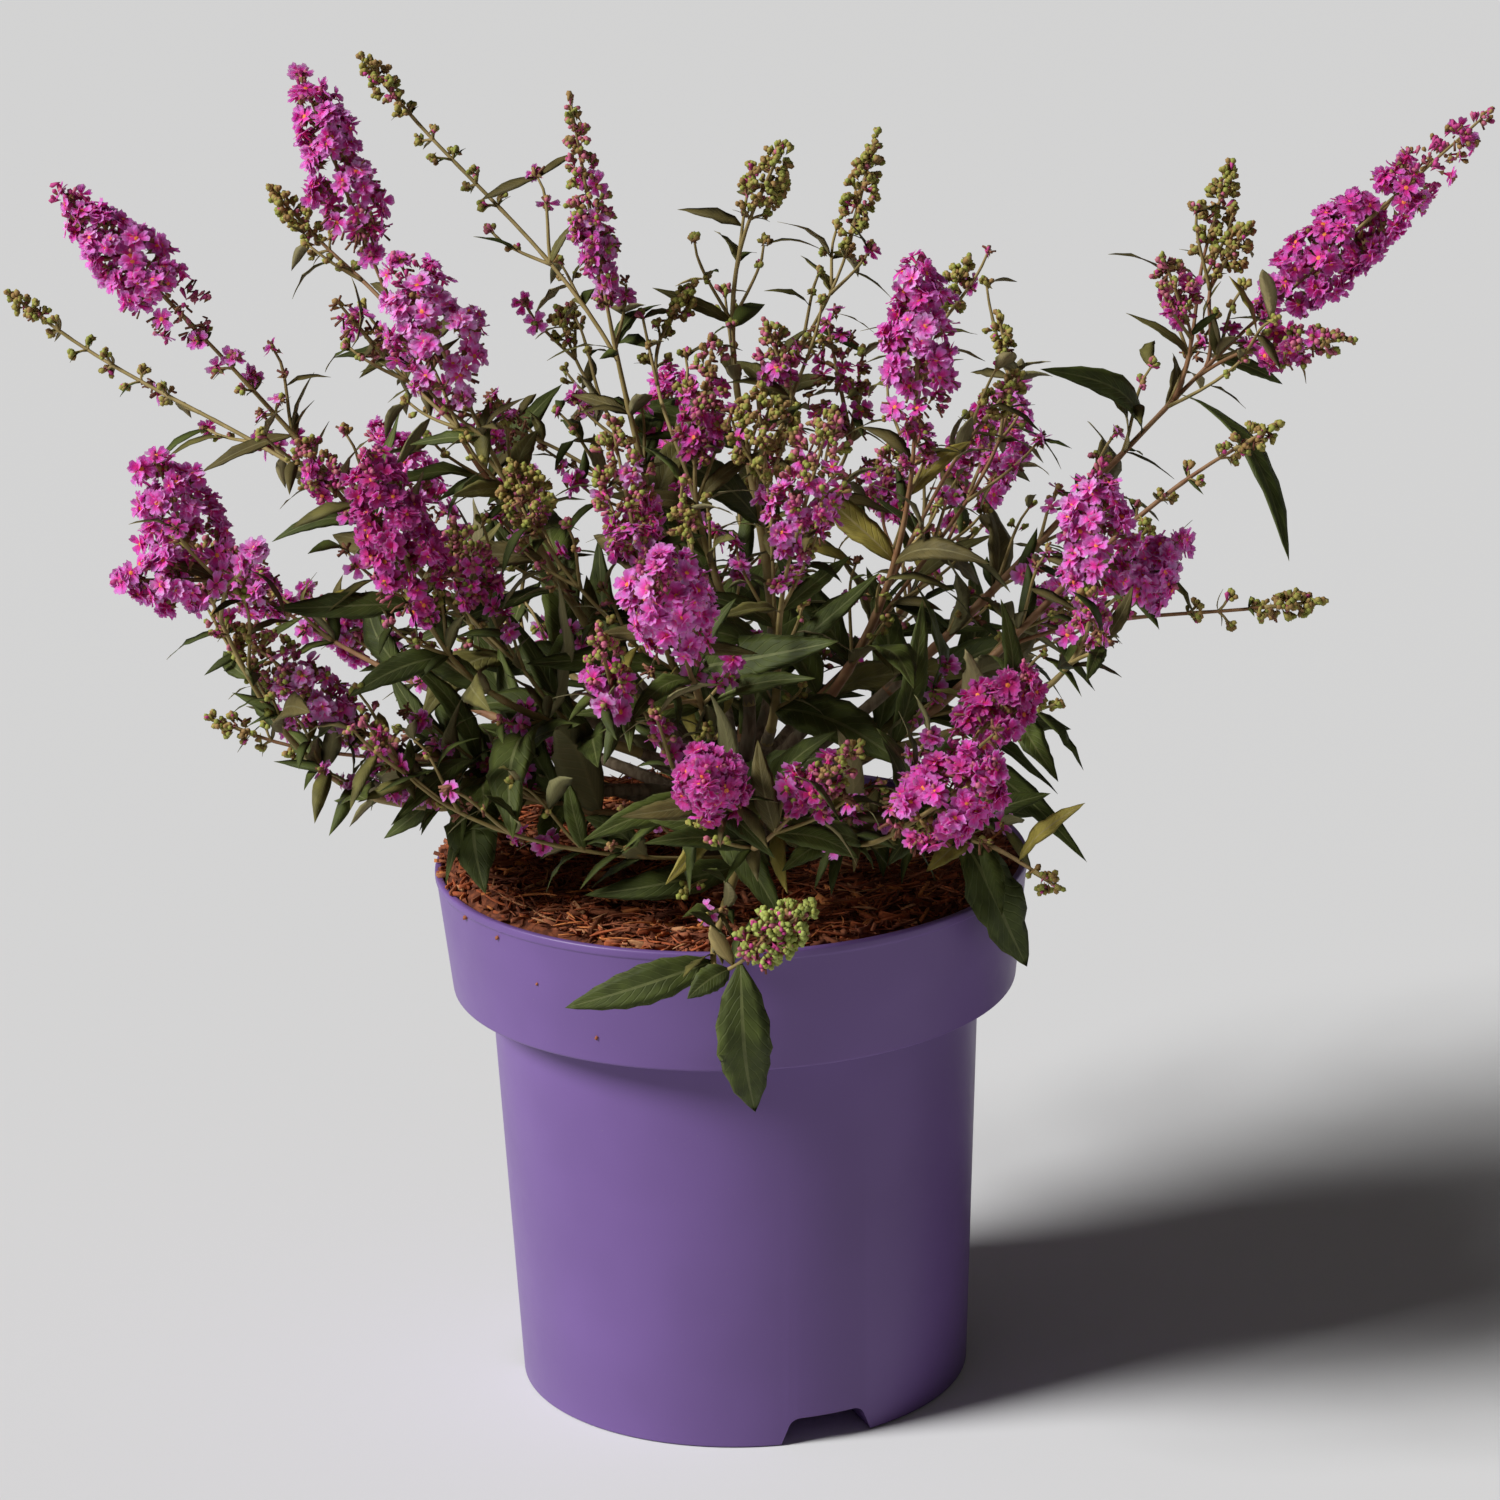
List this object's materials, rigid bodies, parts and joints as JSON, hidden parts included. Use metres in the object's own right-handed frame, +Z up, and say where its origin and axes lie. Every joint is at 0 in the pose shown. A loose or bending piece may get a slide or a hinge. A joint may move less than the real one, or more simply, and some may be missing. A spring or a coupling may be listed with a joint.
{
  "type": "potted butterfly bush",
  "caption": "Young flowering shrub in a round nursery pot: arching leafy shoots that end in spikes of small magenta-pink flowers, over bark mulch in a purple pot.",
  "frame": {"origin": "centre of the pot's flat underside", "axes": "+Z up, +X to the right of the plant seen from its front, +Y to its back"},
  "size_m": [0.564, 0.3816, 0.499],
  "materials": {
    "pot": "satin moulded plastic",
    "soil": "shredded bark mulch",
    "trunk": "peeling grey-brown bark",
    "bough": "thin olive-tan bark",
    "foliage": "soft matte leaves"
  },
  "bodies": {
    "root": {"pot": "pot", "soil": "soil", "trunk": "trunk", "bough_outer_left": "bough", "bough_high_left": "bough", "bough_upper_left": "bough", "bough_middle_left": "bough", "bough_front_left": "bough", "bough_low_left": "bough", "bough_low_front": "bough", "bough_front_centre": "bough", "bough_low_centre": "bough", "bough_front_right": "bough", "bough_low_right": "bough", "bough_middle_right": "bough", "bough_far_right": "bough", "bough_outer_right": "bough", "bough_upper_right": "bough", "bough_centre_right": "bough", "bough_centre_left": "bough", "bough_centre": "bough", "bough_high_centre": "bough", "bough_high_right": "bough", "bough_back_centre": "bough", "bough_back_left": "bough", "bough_back_right": "bough", "bough_far_back_right": "bough", "bough_far_back_left": "bough", "bough_rim_right": "bough", "bough_rim_left": "bough", "bough_rim_back": "bough", "foliage_outer_left": "foliage", "foliage_high_left": "foliage", "foliage_upper_left": "foliage", "foliage_middle_left": "foliage", "foliage_front_left": "foliage", "foliage_low_left": "foliage", "foliage_low_front": "foliage", "foliage_front_centre": "foliage", "foliage_low_centre": "foliage", "foliage_front_right": "foliage", "foliage_low_right": "foliage", "foliage_middle_right": "foliage", "foliage_far_right": "foliage", "foliage_outer_right": "foliage", "foliage_upper_right": "foliage", "foliage_centre_right": "foliage", "foliage_centre_left": "foliage", "foliage_centre": "foliage", "foliage_high_centre": "foliage", "foliage_high_right": "foliage", "foliage_back_centre": "foliage", "foliage_back_left": "foliage", "foliage_back_right": "foliage", "foliage_far_back_right": "foliage", "foliage_far_back_left": "foliage", "foliage_rim_right": "foliage", "foliage_rim_left": "foliage", "foliage_rim_back": "foliage"}
  },
  "joints": []
}
